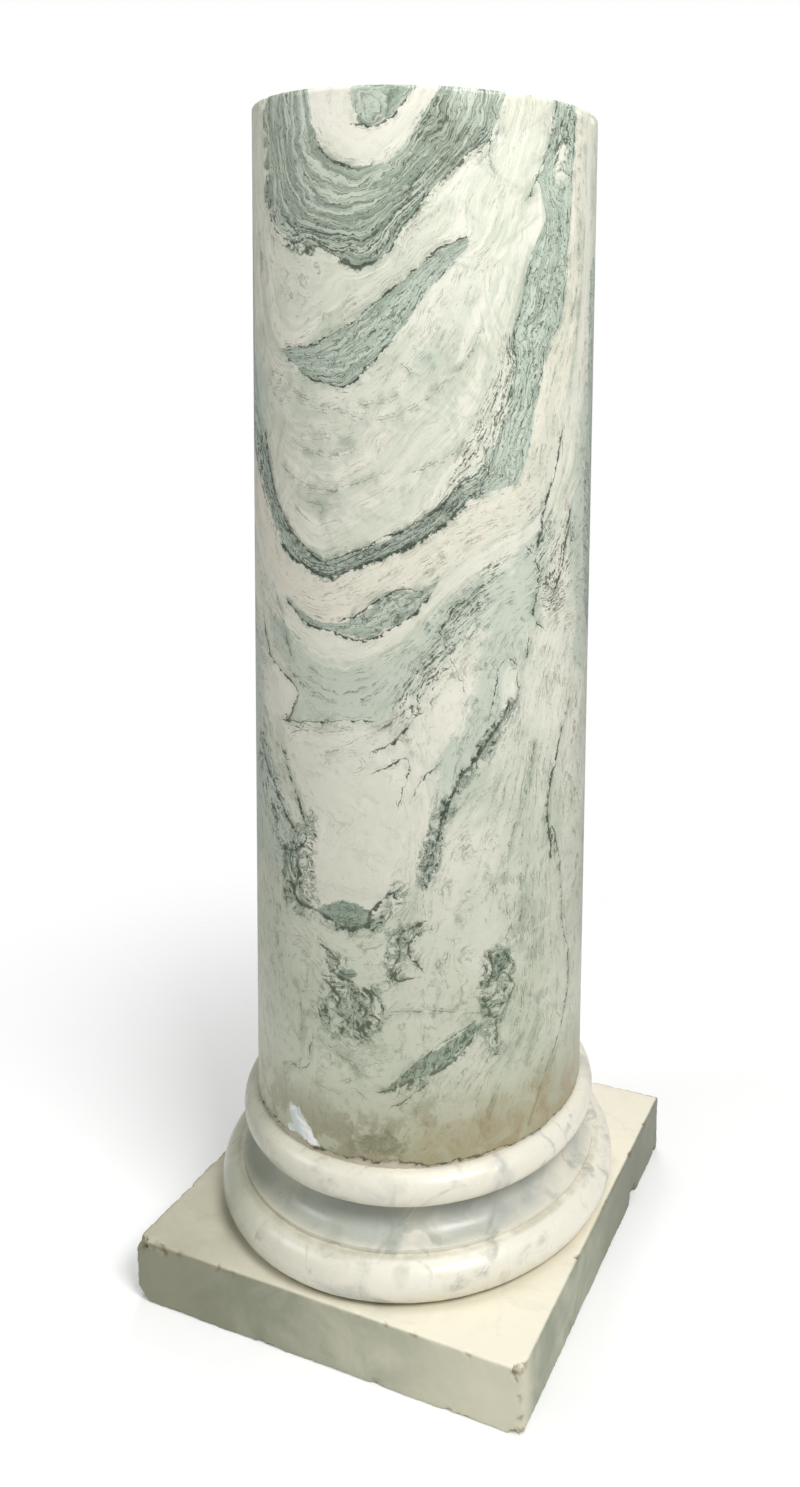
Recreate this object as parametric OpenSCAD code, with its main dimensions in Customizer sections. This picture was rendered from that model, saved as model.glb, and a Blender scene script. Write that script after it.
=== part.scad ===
// Plain round column shaft on a turned base and a square plinth.
// Three separate blocks of marble, stacked plumb on one axis and held by their own weight.
// Units are millimetres. +Z is up and the origin is the middle of the plinth's underside.

/* [Plinth] */
// Side of the square slab
plinth_side = 400; // [360:1:520]
// Thickness of the slab
plinth_t = 60; // [40:1:90]
// How far the worn bottom corner is lost along the two bottom edges
corner_run = 15; // [6:1:24]
// How far the worn bottom corner is lost up the upright edge
corner_rise = 16; // [6:1:24]

/* [Base] */
// Widest diameter of the lower torus
lower_torus_d = 400; // [350:1:440]
// Radius of the lower torus's rounded edge
lower_torus_r = 21; // [16:1:26]
// Diameter of the thin fillet above the lower torus
fillet_d = 359; // [330:1:380]
// Height of the fillet's upright face
fillet_h = 4; // [3:0.5:8]
// Radius of the hollow between the fillet and the upper torus
scotia_r = 22; // [18:1:28]
// Widest diameter of the upper torus
upper_torus_d = 357; // [340:1:400]
// Radius of the upper torus's rounded edge
upper_torus_r = 17; // [12:1:20]

/* [Shaft] */
// Diameter of the shaft, the same from foot to top
shaft_d = 329; // [270:1:335]
// Length of the shaft
shaft_l = 962; // [600:1:1300]
// How far the worn foot edge is lost inwards
foot_wear_in = 3; // [1:0.5:5]
// How far the worn foot edge is lost upwards
foot_wear_up = 5; // [2:0.5:9]
// Width of the small bevel round the top edge
top_arris = 1.5; // [0.5:0.5:4]

/* [Hidden] */
$fn = 128;

plinth_marble = "#dcd8c6";
base_marble = "#eeede6";
shaft_marble = "#b9c4b4";

// each torus loses this much where it is dressed flat to carry or to rest on a block
bed = 0.5;
// the upper torus's middle stands this far above the hollow's full circle
torus_rise = 5;

// heights are worked upwards from the plinth's top
lower_torus_z = plinth_t + lower_torus_r - bed;
fillet_z = lower_torus_z + lower_torus_r - bed;
hollow_z = fillet_z + fillet_h;
scotia_z = hollow_z + scotia_r;
upper_torus_z = scotia_z + scotia_r + torus_rise;
base_top = upper_torus_z + upper_torus_r - bed;

lower_torus_mid = lower_torus_d / 2 - lower_torus_r;
upper_torus_mid = upper_torus_d / 2 - upper_torus_r;
shaft_r = shaft_d / 2;

// room that a cutting shape is given past the surface it cuts
over = 10;

// Block whose top face is the slope of the worn corner. That face passes through the
// three points where the loss ends: one on each bottom edge and one on the upright edge.
module worn_corner() {
    slope = atan2(corner_rise, corner_run / sqrt(2));
    block = 4 * (corner_run + corner_rise);
    translate([-plinth_side / 2, -plinth_side / 2, corner_rise])
        rotate([0, slope, 45])
            translate([-block / 2, -block / 2, -block])
                cube(block);
}

module plinth() {
    color(plinth_marble)
        difference() {
            translate([-plinth_side / 2, -plinth_side / 2, 0])
                cube([plinth_side, plinth_side, plinth_t]);
            worn_corner();
        }
}

// Half of the base's outline, as a lathe would cut it
module base_outline() {
    difference() {
        union() {
            // core of the block, up to the top bed
            translate([0, plinth_t])
                square([upper_torus_mid, base_top - plinth_t]);
            // lower torus, filled in to the core
            translate([lower_torus_mid, lower_torus_z])
                circle(lower_torus_r);
            translate([0, lower_torus_z - lower_torus_r])
                square([lower_torus_mid, 2 * lower_torus_r]);
            // fillet and the block that the hollow is cut from
            translate([0, fillet_z - lower_torus_r / 2])
                square([fillet_d / 2, hollow_z - fillet_z + lower_torus_r / 2 + scotia_r]);
            // upper torus
            translate([upper_torus_mid, upper_torus_z])
                circle(upper_torus_r);
        }
        // hollow between the two tori
        intersection() {
            translate([fillet_d / 2, scotia_z])
                circle(scotia_r);
            difference() {
                translate([0, hollow_z - over])
                    square([fillet_d, 2 * scotia_r + 2 * over]);
                translate([upper_torus_mid, upper_torus_z])
                    circle(upper_torus_r);
            }
        }
        // dressed beds below and above
        translate([0, plinth_t - over])
            square([lower_torus_d, over]);
        translate([0, base_top])
            square([lower_torus_d, over]);
    }
}

module base() {
    color(base_marble)
        rotate_extrude()
            base_outline();
}

module shaft() {
    color(shaft_marble)
        translate([0, 0, base_top])
            rotate_extrude()
                polygon([
                    [0, 0],
                    [shaft_r - foot_wear_in, 0],
                    [shaft_r, foot_wear_up],
                    [shaft_r, shaft_l - top_arris],
                    [shaft_r - top_arris, shaft_l],
                    [0, shaft_l]
                ]);
}

plinth();
base();
shaft();
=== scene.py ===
# %% [markdown]
# # A short marble column on a moulded base
#
# The column is three stones that stand on each other: a square plinth, a turned base of white
# marble, and a plain shaft of green-veined marble with a chipped rim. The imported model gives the
# three solids at their true size. Here each one is made again with the wear and the stone that
# the eye sees, inside the same box.

# %% Load the frame
import math

import bpy
import numpy as np
from mathutils import Matrix, Vector, noise


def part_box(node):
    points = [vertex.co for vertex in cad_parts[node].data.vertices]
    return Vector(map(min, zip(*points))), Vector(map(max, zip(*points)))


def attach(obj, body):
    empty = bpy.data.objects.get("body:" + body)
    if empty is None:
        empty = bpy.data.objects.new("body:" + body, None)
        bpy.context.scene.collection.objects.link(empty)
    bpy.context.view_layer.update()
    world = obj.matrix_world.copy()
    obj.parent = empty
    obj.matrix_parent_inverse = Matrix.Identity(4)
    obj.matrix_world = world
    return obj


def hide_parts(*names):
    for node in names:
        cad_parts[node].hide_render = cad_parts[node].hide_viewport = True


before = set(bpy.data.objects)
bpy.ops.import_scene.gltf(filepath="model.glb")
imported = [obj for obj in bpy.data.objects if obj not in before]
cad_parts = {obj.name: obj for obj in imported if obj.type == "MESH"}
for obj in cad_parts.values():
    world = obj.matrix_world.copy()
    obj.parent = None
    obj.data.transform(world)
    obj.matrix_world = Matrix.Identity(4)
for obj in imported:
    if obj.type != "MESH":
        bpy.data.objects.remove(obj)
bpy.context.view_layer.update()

# %% [markdown]
# ## The camera
#
# A camera is a point, three angles and a lens. The point is a little above the column's middle
# and to its right, and the camera looks slightly down. A shift moves the picture on the film
# without tilting the camera, as a view camera does, so the column's sides stay nearly upright.

# %% Place the camera
STAND = Vector((0.5524, -1.0722, 0.9304))
TURN, PITCH, ROLL = math.radians(20.84), math.radians(-5.57), math.radians(1.0)
ahead = Vector((-math.sin(TURN) * math.cos(PITCH), math.cos(TURN) * math.cos(PITCH), math.sin(PITCH)))
level = Vector((math.cos(TURN), math.sin(TURN), 0.0))
upward = level.cross(ahead)
right = math.cos(ROLL) * level + math.sin(ROLL) * upward
top = math.cos(ROLL) * upward - math.sin(ROLL) * level

lens = bpy.data.cameras.new("camera")
lens.sensor_width = 36.0
lens.lens = 29.44
lens.shift_x = -0.1086
lens.shift_y = -0.1972
camera = bpy.data.objects.new("camera", lens)
camera.matrix_world = Matrix.Translation(STAND) @ Matrix((right, top, -ahead)).transposed().to_4x4()
bpy.context.scene.collection.objects.link(camera)
bpy.context.scene.camera = camera
print("camera at", tuple(round(v, 3) for v in STAND))

# %% [markdown]
# ## Shader sums as plain Python
#
# A node tree for stone is mostly arithmetic. `Wire` wraps one output socket, so `a * 2 + b`
# adds the Math nodes for us. Every other node comes from `Stone.node`.

# %% A wire
class Wire:
    """One output of a node. The operators add Math nodes to its stone."""

    def __init__(self, stone, socket):
        self.stone, self.socket = stone, socket

    def sum(self, kind, a, b=0.0):
        return self.stone.node("ShaderNodeMath", {"operation": kind}, {0: a, 1: b})

    def __add__(self, other):
        return self.sum("ADD", self, other)

    def __sub__(self, other):
        return self.sum("SUBTRACT", self, other)

    def __rsub__(self, other):
        return self.sum("SUBTRACT", other, self)

    def __mul__(self, other):
        return self.sum("MULTIPLY", self, other)

    __radd__, __rmul__ = __add__, __mul__

    def __abs__(self):
        return self.sum("ABSOLUTE", self)

    def least(self, other):
        return self.sum("MINIMUM", self, other)

    def most(self, other):
        return self.sum("MAXIMUM", self, other)

    def part(self):
        """What is left past the whole number."""
        return self.sum("FRACT", self)

    def step(self, start, stop):
        """0 at start, 1 at stop, and a smooth rise between them, whichever is the larger."""
        ends = {"Value": self, "From Min": start, "From Max": stop}
        return self.stone.node("ShaderNodeMapRange", {"interpolation_type": "SMOOTHSTEP"}, ends)

    def lines(self, width, core=0.0, level=0.5):
        """Lines where the value is at a level: 1 within core of it, 0 past width."""
        return abs(self - level).step(width, core)


# %% A stone
class Stone:
    """A material and its nodes."""

    def __init__(self, name):
        self.material = bpy.data.materials.new(name)
        self.material.use_nodes = True
        self.tree = self.material.node_tree
        self.shader = self.tree.nodes["Principled BSDF"]
        self.place = self.node("ShaderNodeTexCoord", {}, {}, "Object")

    def node(self, kind, settings, sockets, out=0):
        """Adds a node: its settings first, then the values or wires of its sockets."""
        made = self.tree.nodes.new(kind)
        for key, value in settings.items():
            setattr(made, key, value)
        for key, value in sockets.items():
            self.feed(made.inputs[key], value)
        return Wire(self, made.outputs[out])

    def feed(self, socket, value):
        if isinstance(value, Wire):
            self.tree.links.new(value.socket, socket)
        else:
            socket.default_value = value

    def give(self, name, value):
        """Sets or wires one socket of the shader."""
        self.feed(self.shader.inputs[name], value)

    def field(self, name):
        """A number kept at each vertex of the piece."""
        return self.node("ShaderNodeAttribute", {"attribute_name": name}, {}, "Fac")

    def cloud(self, scale, detail=3.0, rough=0.55, place=None, twist=0.0):
        """Noise about 0.5, with scale blobs to the metre."""
        sockets = {"Vector": place or self.place, "Scale": scale, "Detail": detail}
        sockets |= {"Roughness": rough, "Distortion": twist}
        return self.node("ShaderNodeTexNoise", {"noise_dimensions": "3D"}, sockets, "Fac")

    def mix(self, share, first, second):
        """Colours mixed by share, 0 for the first and 1 for the second."""
        return self.node("ShaderNodeMix", {"data_type": "RGBA"}, {0: share, 6: first, 7: second}, 2)

    def lay(self, colour, *coats):
        """Lays coats over a colour one by one, each of them its share and its own colour."""
        for share, coat in coats:
            colour = self.mix(share, colour, coat)
        return colour

    def along(self, axis):
        return self.node("ShaderNodeSeparateXYZ", {}, {0: self.place}, axis)

    def bump(self, height, depth, strength):
        sockets = {"Height": height, "Distance": depth, "Strength": strength}
        return self.node("ShaderNodeBump", {}, sockets, "Normal")


def tint(red, green, blue):
    """A colour written as screen values of 0 to 255, turned to the linear values of a shader."""
    return tuple(((v / 255 + 0.055) / 1.055) ** 2.4 for v in (red, green, blue)) + (1.0,)


# %% [markdown]
# ## Floor and light
#
# Pale stone shows its veins best in soft, even light. One large lamp hangs in front, above and
# to the right, so the shaft is brightest near its top and falls off towards its foot and its
# left side. A weak sky fills the shadows. The floor is a plain pale plane that fades out some
# way from the column, and behind it lies nothing but white.

# %% Lay the floor
def work_on(thing):
    """Selects one object and nothing else."""
    bpy.ops.object.select_all(action="DESELECT")
    thing.select_set(True)
    bpy.context.view_layer.objects.active = thing


FLOOR_SIDE, FLOOR_DROP = 12.0, 0.0005
FLOOR_FULL, FLOOR_GONE = 0.32, 0.95
bpy.ops.object.select_all(action="DESELECT")
bpy.ops.mesh.primitive_plane_add(size=FLOOR_SIDE, location=(0, 0, -FLOOR_DROP))
floor = bpy.context.object
floor.name = "floor"
floor_paint = Stone("floor_paint")
floor_paint.give("Base Color", (0.98, 0.98, 0.98, 1))
floor_paint.give("Roughness", 0.9)
floor_paint.give("Specular IOR Level", 0.0)
length = {"operation": "LENGTH"}
from_middle = floor_paint.node("ShaderNodeVectorMath", length, {0: floor_paint.place}, "Value")
floor_paint.give("Alpha", from_middle.step(FLOOR_GONE, FLOOR_FULL))
floor.data.materials.append(floor_paint.material)

# %% Hang the lamps
for name, place, aim, side, watts in (
    # each lamp looks from its place at a height on the column's axis
    ("key_lamp", (1.4, -1.0, 2.1), 0.7, 0.9, 43),
    ("side_lamp", (-1.6, -1.3, 1.9), 0.9, 0.9, 16),
    ("back_lamp", (-1.0, 1.9, 2.2), 0.6, 1.2, 14),
    ("top_lamp", (0.3, 0.0, 2.9), 0.0, 1.6, 20),
):
    light = bpy.data.lights.new(name, "AREA")
    light.shape = "SQUARE"
    light.size = side
    light.energy = watts
    hung = bpy.data.objects.new(name, light)
    away = (Vector(place) - Vector((0, 0, aim))).normalized()
    hung.matrix_world = Matrix.Translation(place) @ away.to_track_quat("Z", "Y").to_matrix().to_4x4()
    bpy.context.scene.collection.objects.link(hung)
    print(name, "of", watts, "W")

SKY_STRENGTH = 0.29
sky = bpy.data.worlds.new("sky")
sky.use_nodes = True
parts = sky.node_tree.nodes
soft, paper = parts["Background"], parts.new("ShaderNodeBackground")
for shade, strength in ((soft, SKY_STRENGTH), (paper, 1.0)):
    shade.inputs["Color"].default_value = (1, 1, 1, 1)
    shade.inputs["Strength"].default_value = strength
seen, choice = parts.new("ShaderNodeLightPath"), parts.new("ShaderNodeMixShader")
sky.node_tree.links.new(seen.outputs["Is Camera Ray"], choice.inputs[0])
sky.node_tree.links.new(soft.outputs[0], choice.inputs[1])
sky.node_tree.links.new(paper.outputs[0], choice.inputs[2])
sky.node_tree.links.new(choice.outputs[0], parts["World Output"].inputs[0])
bpy.context.scene.world = sky
bpy.context.scene.view_settings.view_transform = "Standard"

# %% [markdown]
# ## Vertices as arrays
#
# Wear is a small inward move of many vertices, so helpers read and write all of a mesh's
# vertices at once, and one keeps a number at each vertex for a material to read.

# %% Helpers for vertices
MM = 0.001


def spots(piece):
    """The vertices of a mesh in millimetres, one row each."""
    found = np.empty(len(piece.data.vertices) * 3)
    piece.data.vertices.foreach_get("co", found)
    return found.reshape(-1, 3) / MM


def move_to(piece, places):
    piece.data.vertices.foreach_set("co", (places * MM).ravel())
    piece.data.update()


def keep_field(piece, name, values):
    """Stores one number a vertex under a name."""
    kept = piece.data.attributes.new(name, "FLOAT", "POINT")
    kept.data.foreach_set("value", np.ascontiguousarray(values, dtype=np.float32))


def rough(places, size, octaves=4, seed=0.0):
    """Fractal noise of about -1 to 1 at each place; size is that of its largest bumps in mm."""
    shift = Vector((seed, seed * 0.7, -seed))
    return np.array([noise.fractal(Vector(p) / size + shift, 0.9, 2.1, octaves) for p in places])


def rise(value, low, high):
    """0 below low, 1 above high, smooth between, for arrays."""
    t = np.clip((value - low) / (high - low), 0, 1)
    return t * t * (3 - 2 * t)


def dented(depth, angles, heights, radius, dents, fray, rim, floor_of_dent):
    """The wear's depth once dents are added, each (angle, height, width, depth) on a round wall."""
    for turn, height, width, deep in dents:
        swing = (angles - turn + 180) % 360 - 180
        away = np.hypot(np.radians(swing) * radius, heights - height) / (width / 2)
        depth = np.maximum(depth, deep * rise(-(away + fray), -rim, -floor_of_dent))
    return depth


def finish_piece(piece, name, node, material):
    """Names a piece, gives it its stone, hangs it under the root and hides the CAD node it replaces."""
    piece.name = name
    piece.data.name = name
    piece.data.materials.clear()
    piece.data.materials.append(material)
    work_on(piece)
    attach(piece, "root")
    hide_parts(node)
    faces = sum(len(p.vertices) - 2 for p in piece.data.polygons)
    print(f"{name}: {len(piece.data.vertices)} vertices, {faces} triangles")


# %% [markdown]
# ## The plinth
#
# The plinth is a sawn square slab. A bevelled box would give even edges, which no old slab has.
# So it starts as a cube at the slab's size, and each set of parallel edges is cut into short
# lengths, so that its faces have enough vertices for wear. Then the arrises are rubbed round
# and chipped. The bottom corner at the left is worn right off.

# %% Model the slab
slab_low, slab_high = (np.array(c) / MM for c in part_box("plinth"))
slab_mid, slab_size = (slab_low + slab_high) / 2, slab_high - slab_low
bpy.ops.object.select_all(action="DESELECT")
bpy.ops.mesh.primitive_cube_add(size=1, location=slab_mid * MM, scale=slab_size * MM)
plinth = bpy.context.object
bpy.ops.object.transform_apply(location=True, rotation=True, scale=True)


def edit(kind, action):
    """Goes into edit mode to pick vertices, edges or faces, with all or none of them picked."""
    bpy.ops.object.mode_set(mode="EDIT")
    bpy.ops.mesh.select_mode(type=kind)
    bpy.ops.mesh.select_all(action=action)


def cut_edges(piece, axis, pieces):
    """Cuts every edge that runs along an axis into equal pieces."""
    work_on(piece)
    edit("EDGE", "DESELECT")
    bpy.ops.object.mode_set(mode="OBJECT")
    for edge in piece.data.edges:
        a, b = (piece.data.vertices[v].co for v in edge.vertices)
        run = (b - a).normalized()
        edge.select = abs(run[axis]) > 0.999
    bpy.ops.object.mode_set(mode="EDIT")
    bpy.ops.mesh.subdivide_edgering(number_cuts=pieces - 1, interpolation="LINEAR")
    bpy.ops.object.mode_set(mode="OBJECT")


SLAB_CELL = 2.6  # mm, about the side of each face
for axis in (2, 0, 1):
    cut_edges(plinth, axis, round(slab_size[axis] / SLAB_CELL))
print("slab cut into", len(plinth.data.polygons), "faces")

# %% [markdown]
# The chips are named by where they are on the slab and how wide and deep they are. Each is a
# hollow with a broken edge: the vertices near its middle move straight inwards.

# %% List the slab's chips
SLAB_CHIPS = [
    # x, y, z, width along the arris, depth
    (-196, -200, 60, 16, 7),
    (-183, -200, 60, 11, 4),
    (-172, -200, 60, 13, 4.5),
    (-152, -200, 60, 9, 3),
    (-108, -200, 60, 8, 3.5),
    (-92, -200, 60, 7, 2.5),
    (40, -200, 60, 10, 3.5),
    (68, -200, 60, 8, 3),
    (96, -200, 60, 9, 3),
    (150, -200, 60, 7, 2.5),
    (196, -200, 60, 15, 6),
    (200, -190, 60, 9, 4),
    (200, -200, 34, 9, 3),
    (200, -200, 16, 8, 3),
    (196, -200, 0, 14, 5),
    (200, -60, 60, 8, 3),
    (200, 20, 60, 6, 2.5),
    (200, 96, 60, 9, 3),
    (200, 150, 60, 7, 3),
    (200, 110, 0, 26, 6),
    (200, 188, 0, 12, 5),
    (120, 200, 60, 9, 4),
    (-40, 200, 60, 12, 4),
    (-150, 200, 60, 8, 3),
    (-200, 120, 60, 9, 3),
    (-200, -20, 60, 12, 4),
    (-200, -120, 60, 7, 3),
    (60, -200, 0, 14, 2.2),
    (-60, -200, 0, 12, 2),
    (130, -200, 0, 10, 2.4),
    (-120, 200, 0, 18, 4),
    (-200, 60, 0, 20, 4),
]

# %% Wear the slab
CORNER_RUN, CORNER_RISE = 15.0, 16.0
ARRIS = 8.0  # how far in from an edge the wear reaches
SLAB_JOINT_R = 181.0  # the ring where the base stands on the slab


def wear_box(places, low, high, chips):
    """Rubs and chips a box's arrises; the inward move is along the mean of the two faces."""
    mid, half = (low + high) / 2, (high - low) / 2
    local = places - mid
    inset = half - np.abs(local)
    two_nearest = np.sort(inset, axis=1)[:, 1]
    inward = -np.sign(local) * (inset < ARRIS)
    size = np.linalg.norm(inward, axis=1, keepdims=True)
    inward = inward / np.maximum(size, 1)
    broad, fine = rough(places, 28, octaves=3, seed=3.1), rough(places, 5, octaves=4, seed=8.7)
    rub = 0.9 + 0.9 * np.clip(broad, -0.6, 1) + 0.8 * np.clip(fine, -0.5, 1)
    depth = np.clip(rub, 0.35, 3) * rise(-two_nearest, -2.4, 0.1)
    for x, y, z, width, deep in chips:
        away = np.linalg.norm((places - (x, y, z)) / (width / 2), axis=1) + 0.45 * fine
        depth = np.maximum(depth, deep * rise(-away, -1.15, -0.35))
    return places + inward * depth[:, None], rise(depth, 1.2, 3.0)


def wear_corner(places, low, run, climb):
    """Puts what lies beyond the worn corner's slope on that slope."""
    lean = Vector((-1 / run, -1 / run, -1 / climb))
    reach = (places - low) @ np.array([1 / run, 1 / run, 1 / climb]) - 1
    uneven = 0.22 * rough(places, 9, octaves=4, seed=5.5)
    past = np.maximum(0, -(reach + uneven)) * (reach < 0.4)
    return places - past[:, None] * np.array(lean) / lean.length_squared


square = spots(plinth)
worn, chipped = wear_box(square, slab_low, slab_high, SLAB_CHIPS)
worn = wear_corner(worn, slab_low, CORNER_RUN, CORNER_RISE)
sawn = rough(worn, 60, octaves=4, seed=1.7)[:, None] * (0.25, 0.25, 0.15)
move_to(plinth, np.clip(worn + sawn, slab_low, slab_high))
inset = np.min(slab_size[:2] / 2 - np.abs(square[:, :2] - slab_mid[:2]), axis=1)
ring = np.abs(np.hypot(square[:, 0], square[:, 1]) - SLAB_JOINT_R)
# Marks the upright sides, which the material paints in shade.
keep_field(plinth, "side_face", rise(-inset, -2.7, -0.4))
keep_field(plinth, "chipped", chipped)
# Painted contact shade in a ring where the base stands on the slab.
keep_field(plinth, "joint", rise(-ring, -5.0, -1.0) * (square[:, 2] > slab_high[2] - 0.1))
print("chipped vertices:", int((chipped > 0.5).sum()))

# %% [markdown]
# ## The turned base
#
# A mason turns the base from one block against a template, so we do the same: one vertex is
# extruded along the template from the axis at the bottom to the axis at the top, and the chain
# is spun once round. The template is two round rolls with a hollow between them.

# %% Draw the template
base_low, base_high = (np.array(c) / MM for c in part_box("base"))
BED, HEAD_FACE = base_low[2], base_high[2]
LOWER_ROLL = (base_high[0] - 21.0, BED + 20.5, 21.0)
FILLET_R, FILLET_Z = 179.5, BED + 41.0
HOLLOW = (FILLET_R, FILLET_Z + 26.0, 22.0)
UPPER_ROLL = (161.5, HEAD_FACE - 16.5, 17.0)
TEMPLATE_STEP = 1.9


def arc(circle, start, stop):
    """Points along a circle (radius of centre, height, own radius) between two angles."""
    r, z, own = circle
    count = max(2, round(abs(math.radians(stop - start)) * own / TEMPLATE_STEP))
    turns = np.radians(np.linspace(start, stop, count + 1))
    return [(r + own * math.cos(t), z + own * math.sin(t)) for t in turns]


def straight(start, stop, step=TEMPLATE_STEP):
    count = max(1, round(math.dist(start, stop) / step))
    return [tuple(np.array(start) + (np.array(stop) - start) * i / count) for i in range(1, count + 1)]


def meeting(a, b):
    """Where circles a and b cross, on the side nearer the axis."""
    first, second = np.array(a[:2]), np.array(b[:2])
    gap = np.linalg.norm(second - first)
    along = (a[2] ** 2 - b[2] ** 2 + gap**2) / (2 * gap)
    out = math.sqrt(a[2] ** 2 - along**2)
    unit = (second - first) / gap
    return first + along * unit + out * np.array([-unit[1], unit[0]])


def bearing(circle, point):
    return math.degrees(math.atan2(point[1] - circle[1], point[0] - circle[0]))


joint = meeting(HOLLOW, UPPER_ROLL)
foot_turn = math.degrees(math.asin((BED - LOWER_ROLL[1]) / LOWER_ROLL[2]))
head_turn = math.degrees(math.asin((HEAD_FACE - UPPER_ROLL[1]) / UPPER_ROLL[2]))
template = [(0.0, BED)]
template += straight(template[-1], (170.0, BED), 34.0)
template += arc(LOWER_ROLL, foot_turn, -foot_turn)
template += straight(template[-1], (FILLET_R, FILLET_Z))
template += straight(template[-1], (FILLET_R, HOLLOW[1] - HOLLOW[2]))
template += arc(HOLLOW, -90, bearing(HOLLOW, joint) - 360)[1:]
template += arc(UPPER_ROLL, bearing(UPPER_ROLL, joint), head_turn)[1:]
template += straight(template[-1], (150.0, HEAD_FACE), 4.0)
template += straight(template[-1], (0.0, HEAD_FACE), 50.0)
print("template of", len(template), "points")

# %% Spin the base
BASE_TURNS = 320
bpy.ops.object.select_all(action="DESELECT")
start = (template[0][0] * MM, 0, template[0][1] * MM)
bpy.ops.mesh.primitive_plane_add(size=0.01, location=start)
base = bpy.context.object
bpy.ops.object.transform_apply(location=True, rotation=True, scale=True)
edit("VERT", "SELECT")
bpy.ops.mesh.merge(type="CENTER")
for here, there in zip(template, template[1:]):
    run = ((there[0] - here[0]) * MM, 0, (there[1] - here[1]) * MM)
    bpy.ops.mesh.extrude_region_move(TRANSFORM_OT_translate={"value": run})
bpy.ops.mesh.select_all(action="SELECT")
bpy.ops.mesh.spin(steps=BASE_TURNS, angle=2 * math.pi, center=(0, 0, 0), axis=(0, 0, 1))
bpy.ops.mesh.select_all(action="SELECT")
bpy.ops.mesh.remove_doubles(threshold=0.00002)
bpy.ops.mesh.normals_make_consistent(inside=False)
bpy.ops.object.mode_set(mode="OBJECT")
print("base of", len(base.data.polygons), "faces")

# %% [markdown]
# The rolls are hand-rubbed, so they aren't quite true, and their crowns have small pits and
# bruises. The move is always inwards, so the base keeps to its box.

# %% Wear the base
BASE_CHIPS = [
    # angle in degrees, height, width, depth
    (-57, 89, 5, 1.6),
    (-88, 101, 9, 1.8),
    (-20, 104, 8, 1.5),
    (-118, 158, 12, 2.2),
    (-40, 168, 10, 1.8),
    (35, 92, 10, 2.0),
    (80, 160, 12, 2.0),
    (120, 104, 12, 2.0),
    (165, 88, 10, 2.2),
    (215, 166, 12, 2.0),
]
rubbed = spots(base)
far = np.hypot(rubbed[:, 0], rubbed[:, 1])
up = rubbed[:, 2]
turned = np.degrees(np.arctan2(rubbed[:, 1], rubbed[:, 0]))
waves, grit = rough(rubbed, 55, octaves=3, seed=2.2), rough(rubbed, 9, octaves=4, seed=6.1)
bite = dented(0.35 + 0.3 * waves + 0.18 * grit, turned, up, far, BASE_CHIPS, 0.5 * grit, 1.2, 0.3)
bite *= rise(far, 140, 156)
hollow_mid = (FILLET_Z + joint[1]) / 2
rubbed[:, :2] *= (1 - np.clip(bite, 0, 4) / np.maximum(far, 1))[:, None]
move_to(base, rubbed)
keep_field(base, "hollow", rise(-np.abs(up - hollow_mid), -26, -12) * rise(-far, -182, -172))
# Painted shade in the crease where the lower roll meets the fillet.
in_groove = rise(-np.abs(up - FILLET_Z), -2.2, -0.6) * rise(-far, -188, -184)
# Painted shade just under the upper roll.
shade_under_roll = rise(-np.abs(up - joint[1]), -2.6, -0.8) * rise(-far, -168, -163)
keep_field(base, "groove", np.maximum(in_groove, 0.6 * shade_under_roll))
# Painted contact shade along the bottom edge, where the base sits on the slab.
keep_field(base, "joint", rise(-up, -BED - 4, -BED - 1))
print("deepest wear of the base, mm:", round(bite.max(), 2))

# %% [markdown]
# ## The shaft
#
# The shaft is plain, with no flutes. It could be spun like the base, but a straight wall is
# quicker as a cylinder. Its long edges are cut into short lengths, packed closer at the foot
# and at the rim, where most of the wear is. Its ends get rings of faces and a middle point.

# %% Model the shaft
shaft_low, shaft_high = (np.array(c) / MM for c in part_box("shaft"))
SHAFT_R = (shaft_high[0] - shaft_low[0]) / 2
FOOT, HEAD = shaft_low[2], shaft_high[2]
SHAFT_SIDES, SHAFT_ROWS = 360, 250
bpy.ops.object.select_all(action="DESELECT")
bpy.ops.mesh.primitive_cylinder_add(
    vertices=SHAFT_SIDES,
    radius=SHAFT_R * MM,
    depth=(HEAD - FOOT) * MM,
    location=(0, 0, (HEAD + FOOT) / 2 * MM),
    end_fill_type="NGON",
)
shaft = bpy.context.object
bpy.ops.object.transform_apply(location=True, rotation=True, scale=True)
cut_edges(shaft, 2, SHAFT_ROWS)
edit("FACE", "DESELECT")
bpy.ops.object.mode_set(mode="OBJECT")
for face in shaft.data.polygons:
    face.select = abs(face.normal.z) > 0.9
bpy.ops.object.mode_set(mode="EDIT")
for shrink in (1.6, 2.4, 4.0, 8.0, 16.0, 30.0, 40.0):
    bpy.ops.mesh.inset(thickness=shrink * MM, use_individual=True)
bpy.ops.mesh.poke()
bpy.ops.object.mode_set(mode="OBJECT")
on_end = np.array([abs(face.normal.z) > 0.9 for face in shaft.data.polygons])
print("shaft of", len(shaft.data.polygons), "faces")

# %% Pack the rows towards both ends
END_ROWS, END_BAND = 12, 18.0
drum = spots(shaft)
row = (drum[:, 2] - FOOT) / (HEAD - FOOT) * SHAFT_ROWS
row_marks = [0, END_ROWS, SHAFT_ROWS - END_ROWS, SHAFT_ROWS]
drum[:, 2] = np.interp(row, row_marks, [FOOT, FOOT + END_BAND, HEAD - END_BAND, HEAD])
angle = np.degrees(np.arctan2(drum[:, 1], drum[:, 0]))
reach = np.hypot(drum[:, 0], drum[:, 1])
print("row height at the ends, mm:", END_BAND / END_ROWS)
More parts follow.
